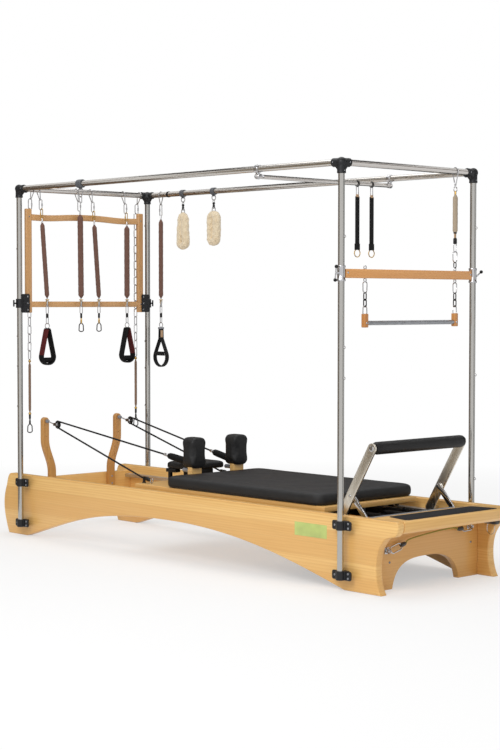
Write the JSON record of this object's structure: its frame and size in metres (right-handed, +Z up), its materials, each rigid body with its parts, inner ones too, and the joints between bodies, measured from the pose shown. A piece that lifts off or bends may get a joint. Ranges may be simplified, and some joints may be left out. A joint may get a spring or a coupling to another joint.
{
  "type": "pilates trapeze table",
  "caption": "Wooden sliding-carriage pilates bed under a stainless steel tower with springs, loops, a trapeze, a push-through slat and a folding padded foot bar.",
  "frame": {"origin": "on the floor, below the middle of the table's bounding box", "axes": "+X from the head end to the foot end, +Y to the back side, +Z up"},
  "size_m": [2.625, 0.881, 1.708],
  "materials": {
    "stainless": "polished stainless tube",
    "black_metal": "black painted casting",
    "maple": "clear lacquered maple",
    "golden_wood": "clear lacquered golden wood",
    "orange_wood": "clear lacquered orange-brown wood",
    "track_aluminium": "anodised, satin",
    "chrome": "polished",
    "steel": "bright",
    "spring_steel": "coated",
    "brass": "dull",
    "black_plastic": "matte",
    "black_cord": "braided",
    "black_webbing": "woven",
    "black_vinyl": "satin grain",
    "beige_sleeve": "knitted",
    "brown_sleeve": "knitted",
    "fleece": "curly fleece",
    "olive_cord": "braided elastic"
  },
  "bodies": {
    "frame": {"upright_head_front": "stainless", "corner_head_front": "black_metal", "upright_head_back": "stainless", "corner_head_back": "black_metal", "upright_foot_front": "stainless", "corner_foot_front": "black_metal", "upright_foot_back": "stainless", "corner_foot_back": "black_metal", "top_rail_front": "stainless", "top_rail_back": "stainless", "top_rail_head": "stainless", "top_rail_foot": "stainless", "side_rail_front": "maple", "side_rail_back": "maple", "head_end_board": "maple", "foot_end_panel": "maple", "foot_platform": "maple", "track_front": "track_aluminium", "track_back": "track_aluminium", "spring_bar": "black_metal", "riser_front": "golden_wood", "riser_back": "golden_wood", "pulley_hanger_front": "chrome", "rope_front": "black_cord", "pulley_hanger_back": "chrome", "rope_back": "black_cord", "carriage_spring_1": "spring_steel", "carriage_spring_2": "spring_steel", "slat_spring": "beige_sleeve", "safety_line": "olive_cord"},
    "carriage": {"carriage_board": "maple", "carriage_mat": "black_vinyl", "shoulder_rest_front": "black_vinyl", "shoulder_rest_back": "black_vinyl"},
    "headrest": {"headrest_pad": "black_vinyl"},
    "roller_head": {"roller_axle_head": "steel"},
    "roller_foot": {"roller_axle_foot": "steel"},
    "pulley_front": {"pulley_wheel_front": "black_plastic"},
    "pulley_back": {"pulley_wheel_back": "black_plastic"},
    "foot_bar": {"footbar_frame": "chrome", "footbar_pad": "black_vinyl"},
    "foot_strut": {"footbar_strut": "chrome"},
    "crossbar": {"crossbar": "chrome"},
    "strap_1": {"strap_1": "black_webbing"},
    "strap_2": {"strap_2": "black_webbing"},
    "slat": {"push_slat": "orange_wood"},
    "trapeze": {"trapeze": "chrome"},
    "head_frame": {"head_frame": "golden_wood", "head_bracket_front": "black_metal", "head_bracket_back": "black_metal"},
    "spring_1": {"spring_1": "brown_sleeve"},
    "spring_2": {"spring_2": "brown_sleeve"},
    "spring_3": {"spring_3": "brown_sleeve"},
    "spring_4": {"spring_4": "brown_sleeve"},
    "spring_5": {"spring_5": "brown_sleeve"},
    "chain_front": {"chain_spring_front": "brass"},
    "chain_back": {"chain_spring_back": "brass"},
    "sheepskin_1": {"sheepskin_loop_1": "fleece"},
    "sheepskin_2": {"sheepskin_loop_2": "fleece"}
  },
  "joints": [
    {"name": "carriage_slide", "type": "slide", "parent": "frame", "child": "carriage", "axis": [1, 0, 0], "range_m": [-0.62, 0], "stiffness_N_per_m": 120, "deforming": ["rope_front", "rope_back", "carriage_spring_1", "carriage_spring_2"]},
    {"name": "roller_head_turn", "type": "hinge", "parent": "carriage", "child": "roller_head", "pos_m": [-0.2875, 0, 0.2703], "axis": [0, 1, 0], "continuous": true},
    {"name": "roller_foot_turn", "type": "hinge", "parent": "carriage", "child": "roller_foot", "pos_m": [0.7025, 0, 0.2703], "axis": [0, 1, 0], "continuous": true},
    {"name": "headrest_tilt", "type": "hinge", "parent": "carriage", "child": "headrest", "pos_m": [-0.1935, 0, 0.369], "axis": [0, 1, 0], "range_deg": [0, 25]},
    {"name": "footbar_fold", "type": "hinge", "parent": "frame", "child": "foot_bar", "pos_m": [0.9195, 0, 0.268], "axis": [0, 1, 0], "range_deg": [0, 42]},
    {"name": "strut_fold", "type": "hinge", "parent": "foot_bar", "child": "foot_strut", "pos_m": [0.97692, 0, 0.36535], "axis": [0, 1, 0], "range_deg": [-105, 0]},
    {"name": "pulley_front_turn", "type": "hinge", "parent": "frame", "child": "pulley_front", "pos_m": [-1.0475, -0.228, 0.541], "axis": [0, 1, 0], "continuous": true},
    {"name": "pulley_back_turn", "type": "hinge", "parent": "frame", "child": "pulley_back", "pos_m": [-1.0475, 0.228, 0.541], "axis": [0, 1, 0], "continuous": true},
    {"name": "crossbar_slide", "type": "slide", "parent": "frame", "child": "crossbar", "axis": [1, 0, 0], "range_m": [-0.85, 0.2]},
    {"name": "strap_1_swing", "type": "hinge", "parent": "crossbar", "child": "strap_1", "pos_m": [0.5665, 0.194, 1.659], "axis": [0, 1, 0], "range_deg": [-60, 40]},
    {"name": "strap_2_swing", "type": "hinge", "parent": "crossbar", "child": "strap_2", "pos_m": [0.5665, 0.285, 1.659], "axis": [0, 1, 0], "range_deg": [-60, 40]},
    {"name": "slat_height", "type": "slide", "parent": "frame", "child": "slat", "axis": [0, 0, 1], "range_m": [-0.2, 0.08], "deforming": ["slat_spring"]},
    {"name": "trapeze_swing", "type": "hinge", "parent": "slat", "child": "trapeze", "pos_m": [1.0425, 0.01, 1.224], "axis": [0, 1, 0], "range_deg": [-50, 50]},
    {"name": "head_frame_height", "type": "slide", "parent": "frame", "child": "head_frame", "axis": [0, 0, 1], "range_m": [-0.09, 0.02]},
    {"name": "spring_1_swing", "type": "hinge", "parent": "frame", "child": "spring_1", "pos_m": [-1.1175, -0.275, 1.69], "axis": [0, -1, 0], "range_deg": [0, 40]},
    {"name": "spring_2_swing", "type": "hinge", "parent": "frame", "child": "spring_2", "pos_m": [-1.1175, -0.055, 1.69], "axis": [0, -1, 0], "range_deg": [0, 40]},
    {"name": "spring_3_swing", "type": "hinge", "parent": "frame", "child": "spring_3", "pos_m": [-1.1175, 0.045, 1.69], "axis": [0, -1, 0], "range_deg": [0, 40]},
    {"name": "spring_4_swing", "type": "hinge", "parent": "frame", "child": "spring_4", "pos_m": [-1.1175, 0.24, 1.69], "axis": [0, -1, 0], "range_deg": [0, 40]},
    {"name": "spring_5_swing", "type": "hinge", "parent": "frame", "child": "spring_5", "pos_m": [-1.0095, 0.402, 1.69], "axis": [1, 0, 0], "range_deg": [0, 40]},
    {"name": "chain_front_swing", "type": "hinge", "parent": "frame", "child": "chain_front", "pos_m": [-1.1175, -0.33, 1.69], "axis": [0, 1, 0], "range_deg": [0, 40]},
    {"name": "chain_back_swing", "type": "hinge", "parent": "frame", "child": "chain_back", "pos_m": [-1.1175, 0.338, 1.69], "axis": [0, 1, 0], "range_deg": [0, 40]},
    {"name": "sheepskin_1_swing", "type": "hinge", "parent": "frame", "child": "sheepskin_1", "pos_m": [-0.8355, 0.402, 1.69], "axis": [1, 0, 0], "range_deg": [-10, 60]},
    {"name": "sheepskin_2_swing", "type": "hinge", "parent": "frame", "child": "sheepskin_2", "pos_m": [-0.6035, 0.402, 1.69], "axis": [1, 0, 0], "range_deg": [-10, 60]}
  ],
  "couplings": [
    {"joint": "roller_head_turn", "follows": "carriage_slide", "rad_per_m": 71.429},
    {"joint": "roller_foot_turn", "follows": "carriage_slide", "rad_per_m": 71.429},
    {"joint": "strut_fold", "follows": "footbar_fold", "ratio": -2.5}
  ]
}
